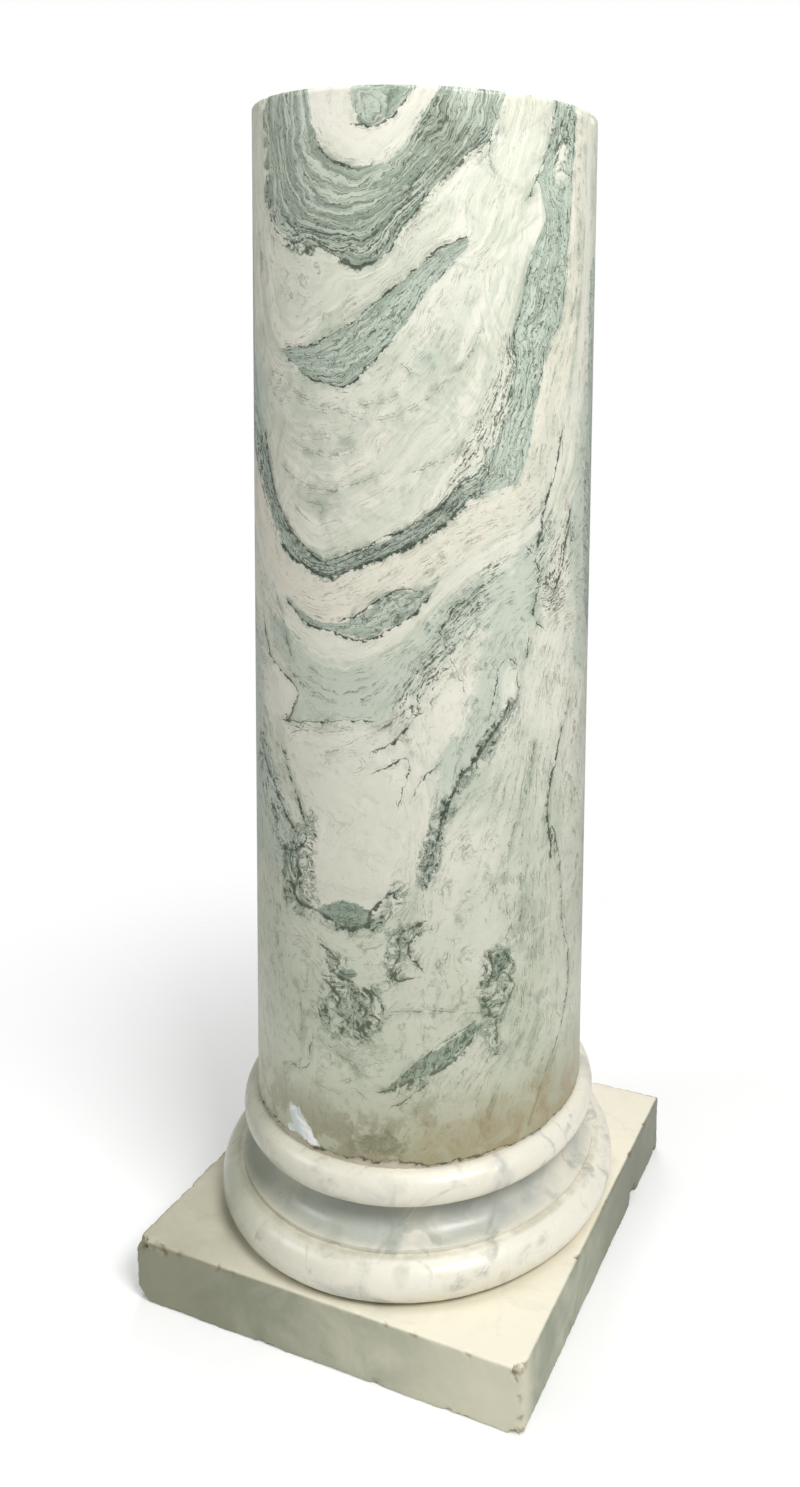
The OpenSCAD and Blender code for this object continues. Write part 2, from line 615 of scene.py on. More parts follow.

# %% [markdown]
# ## How the stone is layered
#
# The green marble was laid down in flat layers and then folded. So each spot on the shaft gets
# one number, its depth in that pile of layers. A few strokes, each with its own depth, are laid
# along the folds as (angle round the shaft, height) and a smooth surface is drawn
# through them. Spots of one depth then make one streak, however it is folded.

# %% Lay the strokes
LAYERS = [
    # the fold at the top
    (-30, [(-86, 1130), (-85, 1105), (-79, 1100), (-73, 1108), (-68, 1130)]),
    (0, [(-101, 1132), (-98, 1100), (-94, 1078), (-85, 1066), (-78, 1067), (-71, 1080), (-65, 1103),
     (-60, 1132)]),
    (36, [(-112, 1132), (-110, 1080), (-105, 1045), (-96, 1028), (-84, 1022), (-74, 1034), (-64, 1062),
     (-55, 1092), (-50, 1132)]),
    (70, [(-122, 1132), (-121, 1060), (-118, 1022), (-110, 1005), (-100, 1001), (-90, 990), (-83, 981),
     (-76, 990), (-68, 1020), (-60, 1050), (-52, 1075), (-44, 1092), (-39, 1132)]),
    (110, [(-50, 1010), (-60, 994), (-70, 969), (-80, 946), (-90, 926), (-100, 917), (-114, 912),
     (-121, 960), (-126, 1030)]),
    (150, [(-103, 892), (-96, 883), (-88, 881), (-80, 900), (-70, 930), (-60, 970), (-52, 992)]),
    # the swirls under the leaf
    (165, [(-118, 890), (-110, 880), (-104, 872), (-96, 858), (-86, 862), (-74, 890), (-64, 925), (-54, 968),
     (-44, 1010), (-36, 1060), (-31, 1110)]),
    (215, [(-121, 862), (-114, 826), (-104, 806), (-95, 794), (-84, 798), (-72, 818), (-60, 855), (-50, 900),
     (-42, 950), (-34, 1010), (-28, 1075), (-25, 1125)]),
    (255, [(-122, 845), (-116, 800), (-106, 775), (-97, 762), (-86, 768), (-74, 785), (-62, 812), (-52, 845),
     (-44, 885), (-41, 930), (-37, 970), (-32, 1020)]),
    # the check-shaped dark band and the band that runs up to the right
    (290, [(-124, 835), (-120, 800), (-117, 780), (-109, 751), (-100, 735), (-95, 728), (-88, 734),
     (-80, 742), (-70, 757), (-60, 775), (-53, 797), (-47, 812), (-42, 838), (-37, 870), (-35, 900),
     (-36, 925), (-33, 955), (-29, 1000), (-24, 1030), (-28, 1065), (-25, 1080), (-22, 1100), (-20, 1132)]),
    (325, [(-130, 795), (-121, 765), (-112, 732), (-103, 718), (-97, 714), (-93, 711), (-85, 722),
     (-75, 733), (-65, 748), (-56, 768), (-48, 783), (-40, 791), (-33, 800), (-28, 840), (-24, 890),
     (-20, 922), (-15, 945), (-13, 980), (-11, 1040), (-9, 1100), (-8, 1132)]),
    (345, [(-128, 760), (-122, 730), (-113, 702), (-103, 693), (-92, 691), (-82, 700), (-72, 716),
     (-62, 735), (-54, 751), (-45, 763), (-36, 774), (-28, 790), (-22, 832), (-18, 880), (-11, 930),
     (-8, 980), (-6, 1060), (-5, 1132)]),
    (368, [(-110, 688), (-100, 674), (-88, 676), (-80, 688), (-74, 702), (-66, 707), (-58, 720), (-48, 740),
     (-38, 755), (-28, 766), (-21, 790), (-16, 832), (-12, 880), (-6, 940), (-3, 1000), (-1, 1130)]),
    (400, [(-119, 690), (-110, 668), (-100, 648), (-90, 641), (-80, 646), (-70, 660), (-60, 690), (-50, 714),
     (-38, 733), (-28, 744), (-20, 765), (-12, 812), (-7, 860), (0, 930), (4, 1000), (5, 1130)]),
    # the blue-grey lobe and the pale blob below it
    (455, [(-127, 660), (-119, 625), (-108, 602), (-110, 576), (-100, 578), (-90, 585), (-80, 588),
     (-72, 606), (-64, 634), (-55, 664), (-45, 688), (-34, 703), (-25, 716), (-17, 738), (-10, 768),
     (-2, 812), (6, 870)]),
    (472, [(-64, 590), (-56, 632), (-48, 658), (-38, 680), (-26, 692), (-17, 700), (-9, 726), (0, 770)]),
    (480, [(-114, 545), (-107, 512), (-104, 500), (-102, 478), (-105, 455), (-107, 425), (-98, 405),
     (-84, 398), (-72, 412), (-64, 445), (-60, 490), (-59, 520), (-60, 550), (-56, 568), (-51, 590),
     (-48, 615), (-46, 640)]),
    (500, [(-134, 560), (-127, 530), (-117, 498), (-111, 470), (-110, 430), (-107, 395), (-98, 370)]),
    (500, [(-24, 682), (-30, 642), (-35, 600), (-41, 570), (-50, 540), (-55, 510), (-60, 470), (-63, 440),
     (-67, 400), (-72, 360)]),
    # the long upright streaks low down and on the right
    (520, [(-22, 658), (-28, 600), (-34, 550), (-42, 500), (-50, 450), (-56, 400), (-60, 350), (-66, 300),
     (-74, 250), (-82, 190)]),
    (540, [(-12, 660), (-19, 600), (-25, 550), (-29, 480), (-33, 400), (-35, 335), (-43, 280), (-52, 235),
     (-60, 180)]),
    (560, [(-3, 640), (-10, 565), (-16, 520), (-18, 480), (-19, 420), (-20, 350), (-24, 290), (-33, 240),
     (-42, 180)]),
    (575, [(3, 600), (-4, 540), (-10, 480), (-12, 440), (-9, 385), (-6, 340), (-4, 300), (-8, 268),
     (-15, 232), (-25, 185)]),
    (520, [(-134, 500), (-127, 455), (-122, 400), (-118, 330), (-113, 260), (-110, 180)]),
    (530, [(-104, 350), (-100, 300), (-98, 250), (-96, 180)]),
    # the far side
    (325, [(45, 1130), (48, 1000), (60, 905), (80, 855), (100, 872), (110, 950), (115, 1050), (118, 1130)]),
    (285, [(60, 1130), (63, 1015), (74, 945), (88, 935), (98, 985), (103, 1060), (106, 1130)]),
    (325, [(228, 800), (220, 832), (210, 884), (200, 955), (190, 1050), (182, 1130)]),
    (285, [(232, 860), (224, 905), (214, 985), (206, 1060), (202, 1130)]),
    (70, [(235, 1120), (236, 1040)]),
    (400, [(241, 690), (226, 730), (210, 780), (195, 850), (180, 950), (170, 1050), (165, 1130)]),
    (400, [(8, 1000), (12, 880), (24, 800), (45, 770), (70, 760), (95, 740), (120, 770), (140, 850),
     (150, 950), (152, 1050)]),
    (460, [(225, 640), (210, 660), (190, 700), (170, 760), (152, 790), (130, 720), (110, 690), (80, 690),
     (50, 700), (25, 730), (10, 800)]),
    (505, [(222, 570), (200, 560), (180, 590), (160, 650), (135, 640), (110, 610), (85, 600), (60, 610),
     (35, 630), (14, 640)]),
    (545, [(222, 440), (200, 430), (175, 470), (150, 530), (120, 520), (90, 480), (60, 490), (35, 520),
     (12, 540)]),
    (575, [(222, 300), (190, 300), (160, 370), (130, 410), (100, 380), (70, 350), (40, 400), (18, 430)]),
    (600, [(225, 190), (190, 200), (150, 260), (120, 290), (80, 240), (45, 230), (15, 260)]),
]


def smooth_line(points, closed=False, pace=6.0):
    """A curve through given points, as (mm round the wall, height) about every pace mm."""
    marks = np.array(points, dtype=float)
    marks[:, 0] = np.radians(marks[:, 0]) * SHAFT_R
    ring = [marks[-1], *marks, marks[0], marks[1]] if closed else [marks[0], *marks, marks[-1]]
    line = []
    for a, b, c, d in zip(ring, ring[1:], ring[2:], ring[3:]):
        for t in np.arange(0, 1, pace / max(np.linalg.norm(c - b), pace)):
            ease = 2 * b + (c - a) * t + (2 * a - 5 * b + 4 * c - d) * t**2
            line.append((ease + (3 * b - a - 3 * c + d) * t**3) / 2)
    return np.array(line if closed else line + [marks[-1]])


def on_wall(line):
    """Points of a line on the round wall, in mm."""
    turns = line[:, 0] / SHAFT_R
    return np.column_stack([SHAFT_R * np.cos(turns), SHAFT_R * np.sin(turns), line[:, 1]])


# %% Draw the layers through the strokes
LAYER_PACE, LAYER_GIVE = 16.0, 1.5
WALL_DEPTH = 4
BATCHES = 40  # the vertices are worked through in parts, to spare memory


def between(first, second):
    return np.linalg.norm(first[:, None] - second[None], axis=2)


laid = [(depth, on_wall(smooth_line(line, pace=LAYER_PACE))) for depth, line in LAYERS]
knots = np.vstack([line for _, line in laid])
depths = np.concatenate([np.full(len(line), depth, dtype=float) for depth, line in laid])
rest = depths.mean()
weights = np.linalg.solve(between(knots, knots) + LAYER_GIVE * np.eye(len(knots)), depths - rest)
outward = drum.copy()
outward[:, :2] *= np.where(reach > SHAFT_R - WALL_DEPTH, SHAFT_R / np.maximum(reach, 1), 1)[:, None]
strata, tight = np.empty(len(drum)), np.empty(len(drum))
for part in np.array_split(np.arange(len(drum)), BATCHES):
    gap = between(outward[part], knots)
    strata[part] = gap @ weights + rest
    share = weights / np.maximum(gap, 1)
    slope = outward[part] * share.sum(axis=1)[:, None] - share @ knots
    tight[part] = np.linalg.norm(slope, axis=1)
print("layers from", len(knots), "knots:", round(strata.min()), "to", round(strata.max()))

# %% [markdown]
# ## Patches and veins
#
# Some colours don't follow the layers: lens-shaped pods, pale blobs, dark cracks. A patch is a
# closed outline, kept as the distance to its edge, positive inside, so the material can fray it.
# A vein is an open line, kept as the distance to it with a sign for its two sides, because that
# number passes evenly through nought and gives a thin line even where vertices are far apart.

# %% Outlines of the patches
GREEN_PATCHES = [
    # the leaf
    [(-50, 1003), (-51, 1009), (-55, 1004), (-60, 993), (-65, 982), (-70, 968), (-75, 955), (-80, 945),
     (-85, 935), (-90, 925), (-95, 920), (-105, 913), (-114, 911), (-110, 904), (-107, 898), (-102, 890),
     (-97, 884), (-90, 880), (-86, 883), (-83, 891), (-80, 900), (-76, 912), (-70, 930), (-66, 945),
     (-63, 960), (-60, 970), (-55, 985)],
    # the eye of the top fold
    [(-85, 1135), (-84, 1105), (-82, 1099), (-78, 1101), (-73, 1109), (-69, 1120), (-66, 1135)],
    # the crescent
    [(-115, 698), (-110, 688), (-100, 674), (-93, 673), (-88, 675), (-83, 682), (-80, 688), (-77, 697),
     (-73, 705), (-68, 706), (-64, 704), (-58, 717), (-60, 706), (-63, 694), (-66, 684), (-70, 675),
     (-75, 668), (-80, 662), (-85, 664), (-93, 664), (-102, 667), (-107, 677)],
    # the slash and its shadow
    [(-75, 246), (-72, 251), (-70, 258), (-66, 270), (-62, 280), (-58, 287), (-54, 293), (-50, 300),
     (-45, 308), (-44, 298), (-46, 291), (-50, 283), (-53, 272), (-57, 266), (-62, 263), (-66, 257),
     (-71, 247)],
    [(-71, 232), (-68, 240), (-65, 248), (-60, 258), (-62, 251), (-66, 241), (-69, 234)],
    # both edges of the seen side
    [(6, 990), (5, 930), (6, 860), (4, 800), (3, 740), (5, 690), (9, 650), (16, 640), (22, 700), (24, 850),
     (22, 960), (14, 1000)],
    [(-152, 1040), (-141, 1020), (-138, 960), (-137, 900), (-138, 850), (-142, 800), (-152, 780)],
    # the teal spots low down
    [(-98, 403), (-95, 412), (-90, 420), (-82, 418), (-77, 412), (-80, 402), (-88, 397)],
    [(-92, 346), (-89, 357), (-84, 362), (-83, 352), (-87, 345)],
    [(-41, 352), (-38, 368), (-33, 366), (-35, 350), (-39, 340)],
    [(-83, 192), (-78, 203), (-70, 201), (-69, 192), (-76, 188)],
]
SAGE_PATCHES = [
    # the blue-grey lobe
    [(-123, 655), (-117, 668), (-108, 655), (-100, 640), (-90, 633), (-80, 638), (-68, 655), (-58, 690),
     (-46, 712), (-36, 722), (-30, 700), (-44, 676), (-54, 655), (-62, 630), (-68, 605), (-78, 590),
     (-90, 587), (-100, 580), (-107, 584), (-105, 603), (-112, 622)],
    # the leaning band
    [(-44, 660), (-47, 625), (-49, 595), (-52, 580), (-56, 570), (-60, 550), (-59, 520), (-60, 480),
     (-63, 447), (-60, 462), (-55, 510), (-48, 542), (-41, 566), (-36, 595), (-31, 640), (-30, 668)],
    [(-66, 899), (-67, 910), (-63, 917), (-59, 912), (-59, 900), (-62, 896)],
    # its tail, up beside the right band
    [(-46, 672), (-38, 700), (-33, 735), (-29, 790), (-25, 845), (-20, 895), (-16, 890), (-17, 830),
     (-20, 770), (-21, 720), (-23, 680), (-32, 655)],
    # left edge
    [(-150, 905), (-124, 895), (-123, 860), (-125, 800), (-130, 785), (-150, 800)],
    [(-150, 660), (-130, 655), (-127, 600), (-124, 565), (-117, 520), (-109, 480), (-110, 440), (-128, 430),
     (-150, 440)],
    # right edge
    [(4, 880), (-3, 830), (-6, 790), (-9, 740), (-9, 708), (-4, 670), (-3, 620), (6, 600), (20, 700)],
]
CREAM_PATCHES = [
    # the pale blob and its fingers
    [(-113, 560), (-108, 572), (-98, 573), (-88, 578), (-78, 582), (-72, 575), (-66, 560), (-62, 540),
     (-61, 500), (-64, 450), (-70, 418), (-80, 405), (-94, 402), (-104, 415), (-105, 455), (-101, 478),
     (-104, 505), (-110, 535)],
    [(-63, 560), (-62, 590), (-58, 612), (-52, 615), (-50, 600), (-53, 580), (-57, 560), (-60, 540)],
    [(-124, 580), (-123, 610), (-117, 622), (-109, 612), (-106, 600), (-109, 582), (-116, 575)],
    # the tongue under the dark check
    [(-134, 780), (-131, 790), (-128, 778), (-123, 745), (-116, 716), (-106, 700), (-110, 692), (-120, 715),
     (-128, 745)],
    # inside the top fold
    [(-99, 1135), (-96, 1100), (-92, 1080), (-85, 1072), (-78, 1073), (-72, 1088), (-66, 1108), (-62, 1135)],
    # the white bay and splashes beside the right band
    [(-31, 1012), (-30, 1040), (-27, 1044), (-24, 1030), (-26, 1014), (-28, 1004)],
    [(-25, 920), (-24, 925), (-22, 890), (-23, 848), (-25, 845), (-26, 885)],
    [(-38, 592), (-37, 628), (-34, 632), (-33, 610), (-35, 592)],
]
FLECKED_PATCHES = [
    [(-74, 243), (-66, 258), (-58, 277), (-47, 303), (-45, 298), (-56, 268), (-64, 251), (-72, 238)],
    [(-122, 1045), (-112, 1030), (-100, 1024), (-88, 1012), (-78, 1016), (-66, 1052), (-54, 1100),
     (-44, 1098), (-50, 1076), (-62, 1042), (-72, 1004), (-82, 976), (-94, 992), (-110, 1000)],
    [(-60, 1120), (-54, 1100), (-60, 1080), (-66, 1098)],
    [(-56, 800), (-50, 840), (-44, 880), (-38, 925), (-34, 920), (-35, 870), (-42, 830), (-48, 795)],
    [(-72, 600), (-66, 640), (-58, 682), (-48, 714), (-41, 748), (-36, 744), (-42, 700), (-50, 662),
     (-57, 628), (-64, 598)],
    [(-25, 770), (-20, 780), (-15, 745), (-12, 700), (-17, 672), (-24, 690), (-27, 730)],
    [(-12, 770), (-6, 760), (-8, 700), (-16, 672), (-19, 690)],
    [(-124, 835), (-117, 780), (-109, 752), (-97, 730), (-80, 744), (-65, 768), (-52, 800), (-46, 792),
     (-56, 766), (-74, 732), (-92, 708), (-104, 716), (-120, 758), (-130, 790)],
    [(-22, 1118), (-13, 1112), (-15, 1090), (-21, 1086)],
    [(-134, 560), (-124, 540), (-112, 500), (-106, 450), (-112, 440), (-124, 480), (-134, 520)],
    [(-134, 830), (-122, 815), (-118, 775), (-108, 740), (-114, 735), (-128, 780)],
    [(170, 1000), (190, 1010), (205, 960), (190, 900), (172, 940)],
    [(70, 880), (95, 890), (110, 930), (95, 960), (75, 940)],
    [(90, 640), (120, 650), (150, 690), (130, 720), (100, 690)],
]
KNOTTED_PATCHES = [
    [(-97, 300), (-98, 335), (-94, 372), (-86, 366), (-84, 345), (-76, 342), (-74, 318), (-79, 294),
     (-88, 290)],
    [(-98, 402), (-88, 410), (-76, 412), (-72, 440), (-67, 436), (-72, 408), (-80, 394), (-92, 392)],
    [(-44, 320), (-43, 366), (-34, 370), (-31, 340), (-36, 300), (-37, 272), (-41, 276)],
    [(-75, 350), (-74, 392), (-64, 408), (-61, 396), (-68, 372), (-68, 350)],
    [(-112, 400), (-112, 450), (-100, 500), (-97, 480), (-100, 440), (-97, 402), (-104, 396)],
    [(-64, 440), (-60, 500), (-48, 552), (-36, 604), (-33, 590), (-44, 545), (-54, 500), (-58, 450)],
    [(-86, 185), (-84, 200), (-76, 208), (-68, 202), (-68, 188), (-76, 184)],
    [(130, 330), (135, 390), (150, 400), (148, 340), (140, 310)],
    [(50, 290), (55, 350), (68, 345), (66, 290)],
    [(180, 480), (175, 540), (190, 560), (196, 500)],
]
PLASTER = [(-110, 208), (-106, 206), (-103, 199), (-100, 190), (-97, 180), (-100, 177), (-106, 181),
           (-111, 178), (-113, 184), (-109, 190), (-112, 198)]

# %% Lines of the veins
VEINS = [
    # width in mm, then the line
    (1.6, [(-122, 1060), (-119, 1024), (-113, 1008), (-104, 1003), (-96, 998), (-88, 986), (-83, 980),
     (-76, 990), (-72, 1005)]),
    (1.4, [(-68, 1022), (-62, 1045), (-56, 1062), (-50, 1080), (-44, 1092)]),
    (2.2, [(-96, 1083), (-92, 1072), (-86, 1066)]),
    (2.0, [(-84, 1100), (-78, 1099), (-73, 1107), (-69, 1120)]),
    (1.4, [(-51, 1009), (-60, 994), (-70, 969), (-80, 946), (-90, 926), (-100, 916), (-114, 911)]),
    (1.8, [(-112, 907), (-104, 893), (-97, 885), (-90, 880), (-85, 885), (-80, 899), (-74, 916)]),
    (0.8, [(-118, 890), (-112, 886), (-106, 873), (-101, 868), (-94, 862), (-88, 866)]),
    (0.8, [(-82, 866), (-76, 868), (-70, 880), (-68, 894), (-71, 902)]),
    (1.0, [(-68, 806), (-63, 812), (-52, 828)]),
    (1.0, [(-100, 778), (-95, 776), (-96, 766)]),
    (2.4, [(-124, 832), (-120, 798), (-115, 770), (-108, 748), (-100, 733), (-95, 726)]),
    (3.0, [(-113, 735), (-105, 722), (-97, 715), (-92, 712), (-86, 720), (-78, 731), (-68, 744), (-58, 762),
     (-50, 784)]),
    (2.0, [(-86, 735), (-76, 749), (-66, 763), (-58, 780), (-52, 798)]),
    (1.2, [(-46, 790), (-42, 818), (-41, 845), (-37, 868), (-35, 900), (-36, 925), (-33, 952), (-29, 998)]),
    (1.4, [(-31, 1046), (-27, 1066), (-24, 1085), (-21, 1110), (-20, 1132)]),
    (1.2, [(-9, 1130), (-11, 1060), (-12, 1010), (-14, 960), (-17, 934), (-23, 918), (-25, 880)]),
    (2.4, [(-14, 842), (-16, 820), (-18, 800), (-21, 780), (-23, 760), (-25, 738)]),
    (1.8, [(-8, 765), (-10, 745), (-12, 720), (-15, 702), (-18, 685)]),
    (1.4, [(-29, 736), (-26, 724), (-24, 712), (-25, 690), (-26, 674), (-22, 661)]),
    (1.0, [(-119, 695), (-115, 680), (-112, 660), (-110, 645), (-108, 630)]),
    (2.0, [(-110, 686), (-102, 670), (-92, 664), (-82, 661), (-74, 668), (-67, 682), (-62, 700)]),
    (1.6, [(-88, 676), (-82, 684), (-77, 697), (-70, 706), (-63, 705)]),
    (2.4, [(-127, 660), (-122, 632), (-116, 621), (-109, 612), (-106, 602), (-108, 588), (-110, 578)]),
    (2.6, [(-132, 548), (-127, 530), (-122, 515), (-117, 500), (-112, 485), (-108, 476)]),
    (2.2, [(-114, 545), (-109, 522), (-105, 503), (-103, 485), (-103, 466), (-107, 455), (-112, 451)]),
    (2.8, [(-106, 446), (-105, 434), (-107, 424), (-108, 412), (-103, 407), (-98, 404)]),
    (1.4, [(-113, 573), (-104, 577), (-96, 582), (-88, 586), (-80, 587)]),
    (1.0, [(-93, 556), (-88, 562), (-82, 572), (-76, 582), (-71, 593), (-66, 601)]),
    (2.2, [(-78, 560), (-72, 570), (-69, 580), (-64, 595)]),
    (1.4, [(-78, 541), (-73, 549), (-68, 556), (-67, 545), (-69, 530), (-70, 515)]),
    (1.4, [(-66, 520), (-63, 536), (-59, 548)]),
    (3.0, [(-36, 596), (-40, 573), (-46, 553), (-51, 537), (-54, 518), (-57, 496), (-59, 476), (-62, 450)]),
    (0.9, [(-57, 665), (-55, 645), (-52, 628), (-50, 605)]),
    (1.8, [(-48, 700), (-54, 688), (-58, 668)]),
    (3.0, [(-97, 403), (-88, 396), (-80, 402), (-78, 415), (-75, 426), (-71, 436)]),
    (2.8, [(-95, 372), (-90, 362), (-93, 350), (-86, 345)]),
    (3.0, [(-94, 340), (-89, 328), (-92, 316), (-86, 308), (-88, 298)]),
    (2.6, [(-84, 332), (-80, 320), (-83, 308), (-81, 296)]),
    (1.6, [(-78, 340), (-75, 324), (-77, 306)]),
    (2.4, [(-63, 405), (-68, 398), (-70, 388), (-70, 374), (-73, 362), (-70, 352), (-65, 353)]),
    (1.8, [(-63, 362), (-67, 376), (-66, 390), (-61, 397)]),
    (2.2, [(-41, 366), (-40, 350), (-41, 336), (-36, 345), (-32, 331), (-34, 317)]),
    (3.0, [(-42, 319), (-40, 308), (-38, 295), (-38, 274)]),
    (1.0, [(-72, 322), (-65, 323), (-58, 322), (-50, 318), (-43, 320)]),
    (2.4, [(-75, 246), (-70, 250), (-65, 259), (-58, 265), (-52, 273), (-47, 289)]),
    (1.2, [(-72, 250), (-66, 270), (-58, 287), (-50, 300), (-45, 307)]),
    (1.6, [(-71, 232), (-66, 241), (-61, 254)]),
    (1.2, [(-100, 286), (-101, 270), (-102, 255), (-106, 247), (-113, 242)]),
    (2.8, [(-7, 580), (-10, 565), (-13, 545), (-15, 528), (-18, 500), (-18, 478), (-16, 443)]),
    (1.9, [(-15, 465), (-12, 440), (-10, 405), (-8, 360), (-4, 330), (-3, 300), (-6, 275), (-11, 250),
     (-19, 215), (-25, 185)]),
    (1.0, [(-130, 1020), (-127, 990), (-129, 975)]),
    # round the white splash
    (1.4, [(-42, 588), (-40, 612), (-39, 630), (-36, 640), (-33, 634)]),
    (1.2, [(-35, 590), (-32, 606), (-32, 622), (-29, 640), (-28, 655)]),
    # the long soft lines low on the right
    (0.9, [(-30, 455), (-29, 400), (-28, 330), (-32, 280), (-42, 250), (-46, 215)]),
    (0.8, [(-25, 430), (-24, 350), (-27, 290), (-36, 245), (-41, 205)]),
    (1.0, [(-34, 470), (-36, 420), (-31, 372)]),
    (0.8, [(-21, 400), (-20, 330), (-23, 270), (-31, 225), (-34, 195)]),
    (0.9, [(-24, 560), (-29, 500), (-38, 450), (-42, 400)]),
    (0.8, [(-52, 405), (-56, 360), (-54, 335)]),
    (0.9, [(-108, 330), (-104, 300), (-106, 262)]),
    (0.8, [(-95, 283), (-86, 272), (-82, 262), (-88, 250)]),
    (0.8, [(-64, 230), (-56, 236), (-50, 250)]),
    (0.9, [(-98, 240), (-90, 236), (-84, 243), (-80, 236)]),
    (0.9, [(-112, 545), (-108, 566), (-98, 572), (-86, 577)]),
    (0.8, [(-90, 560), (-84, 556), (-80, 547), (-84, 540)]),
    # swirls in the pale stone under the leaf
    (0.8, [(-121, 880), (-116, 865), (-111, 868), (-113, 878), (-118, 876)]),
    (0.9, [(-112, 806), (-104, 794), (-94, 790), (-84, 797), (-76, 806)]),
    (0.8, [(-108, 828), (-100, 838), (-90, 836), (-84, 826), (-92, 820), (-102, 822)]),
    (0.8, [(-60, 880), (-52, 902), (-46, 930)]),
    (0.8, [(-88, 858), (-80, 852), (-70, 858), (-62, 872)]),
    # bundles right of the upright band
    (0.9, [(-5, 1120), (-6, 1060), (-5, 1000), (-7, 960), (-10, 940)]),
    (0.8, [(-15, 1120), (-17, 1060), (-18, 1010), (-21, 960)]),
    (0.8, [(-2, 1100), (-2, 1020), (-5, 940), (-9, 880), (-12, 820)]),
    (1.0, [(-47, 1130), (-46, 1108), (-50, 1090), (-48, 1074)]),
    (1.0, [(-43, 1120), (-41, 1100), (-44, 1084), (-43, 1064)]),
    # the far side
    (2.4, [(45, 1130), (48, 1000), (60, 905), (80, 855), (98, 868)]),
    (1.6, [(60, 1130), (63, 1015), (74, 945), (88, 935)]),
    (2.4, [(228, 800), (220, 832), (210, 884), (200, 955), (192, 1040)]),
    (2.2, [(225, 640), (210, 660), (190, 700), (170, 760), (152, 790)]),
    (2.2, [(80, 690), (50, 700), (25, 730)]),
    (2.6, [(160, 650), (135, 640), (110, 610), (85, 600)]),
    (2.4, [(150, 400), (140, 370), (146, 340), (138, 320)]),
    (2.0, [(60, 350), (66, 320), (60, 300), (70, 280)]),
]

# %% Measure distances on the wall
around, heights = np.radians(angle) * SHAFT_R, drum[:, 2]
FAR = 60.0  # mm; beyond this a distance isn't measured


def from_line(line, closed):
    """Distance to a line, and 1 or -1 for its side, for every vertex near it."""
    near, side = np.full(len(drum), FAR), np.ones(len(drum))
    ends = np.vstack([line[1:], line[:1]]) if closed else line[1:]
    middle = (line[:, 0].min() + line[:, 0].max()) / 2
    turn = 2 * np.pi * SHAFT_R
    here = around + turn * np.round((middle - around) / turn)
    low, high = line.min(axis=0) - FAR, line.max(axis=0) + FAR
    close = (here > low[0]) & (here < high[0]) & (heights > low[1]) & (heights < high[1])
    spot = np.column_stack([here[close], heights[close]])
    best, sign = np.full(len(spot), FAR), np.ones(len(spot))
    crossings = np.zeros(len(spot), dtype=int)
    for a, b in zip(line, ends):
        run = b - a
        share = np.clip((spot - a) @ run / max(run @ run, 1e-9), 0, 1)
        away = spot - a - share[:, None] * run
        gap = np.linalg.norm(away, axis=1)
        cross = run[0] * away[:, 1] - run[1] * away[:, 0]
        sign = np.where(gap < best, np.where(cross < 0, -1, 1), sign)
        best = np.minimum(best, gap)
        if closed:
            spans = (a[1] > spot[:, 1]) != (b[1] > spot[:, 1])
            rises = run[1] if abs(run[1]) > 1e-9 else 1e-9
            crossings += spans & (spot[:, 0] < a[0] + run[0] * (spot[:, 1] - a[1]) / rises)
    if closed:
        sign = np.where(crossings % 2 == 1, 1, -1)
        side[~close] = -1
    near[close], side[close] = best, sign
    return near, side


def inside(patches):
    """Distance inside the nearest of some outlines; negative outside."""
    deepest = np.full(len(drum), -FAR)
    for outline in patches:
        near, side = from_line(smooth_line(outline, closed=True), True)
        deepest = np.maximum(deepest, near * side)
    return deepest


def layer(low, high):
    """Depth inside the layers between two numbers; negative outside."""
    return np.minimum(strata - low, high - strata)


# %% Keep what was measured
TOP_FOLD, DARK_CHECK = layer(0, 70), layer(290, 325)
PALE_FOLD, WARM_FOLD = layer(378, 399), layer(326, 372)
vein_gap, vein_side = np.full(len(drum), FAR), np.ones(len(drum))
vein_width = np.zeros(len(drum))
for width, line in VEINS:
    near, side = from_line(smooth_line(line), False)
    taken = near < vein_gap
    vein_side = np.where(taken, side * near, vein_side)
    vein_width = np.where(taken, width, vein_width)
    vein_gap = np.minimum(near, vein_gap)
fields = {
    "strata": strata,
    "tight": tight,
    "flecked": inside(FLECKED_PATCHES),
    "knotted": inside(KNOTTED_PATCHES),
    "green": np.maximum(inside(GREEN_PATCHES), np.maximum(TOP_FOLD, DARK_CHECK)),
    "sage": inside(SAGE_PATCHES),
    "cream": np.maximum(inside(CREAM_PATCHES), PALE_FOLD * 0.8),
    "warm": WARM_FOLD,
    "plaster": inside([PLASTER]),
    "vein": vein_side,
    "vein_gap": vein_gap,
    "vein_width": vein_width,
}
for name, values in fields.items():
    keep_field(shaft, name, values)
print("veins:", len(VEINS), "green vertices:", int((fields["green"] > 0).sum()))

# %% [markdown]
# ## Wear of the shaft
#
# The top has a chipped rim, and the foot has a ragged edge that was bedded in plaster. The ends
# are sawn faces that aren't quite flat.

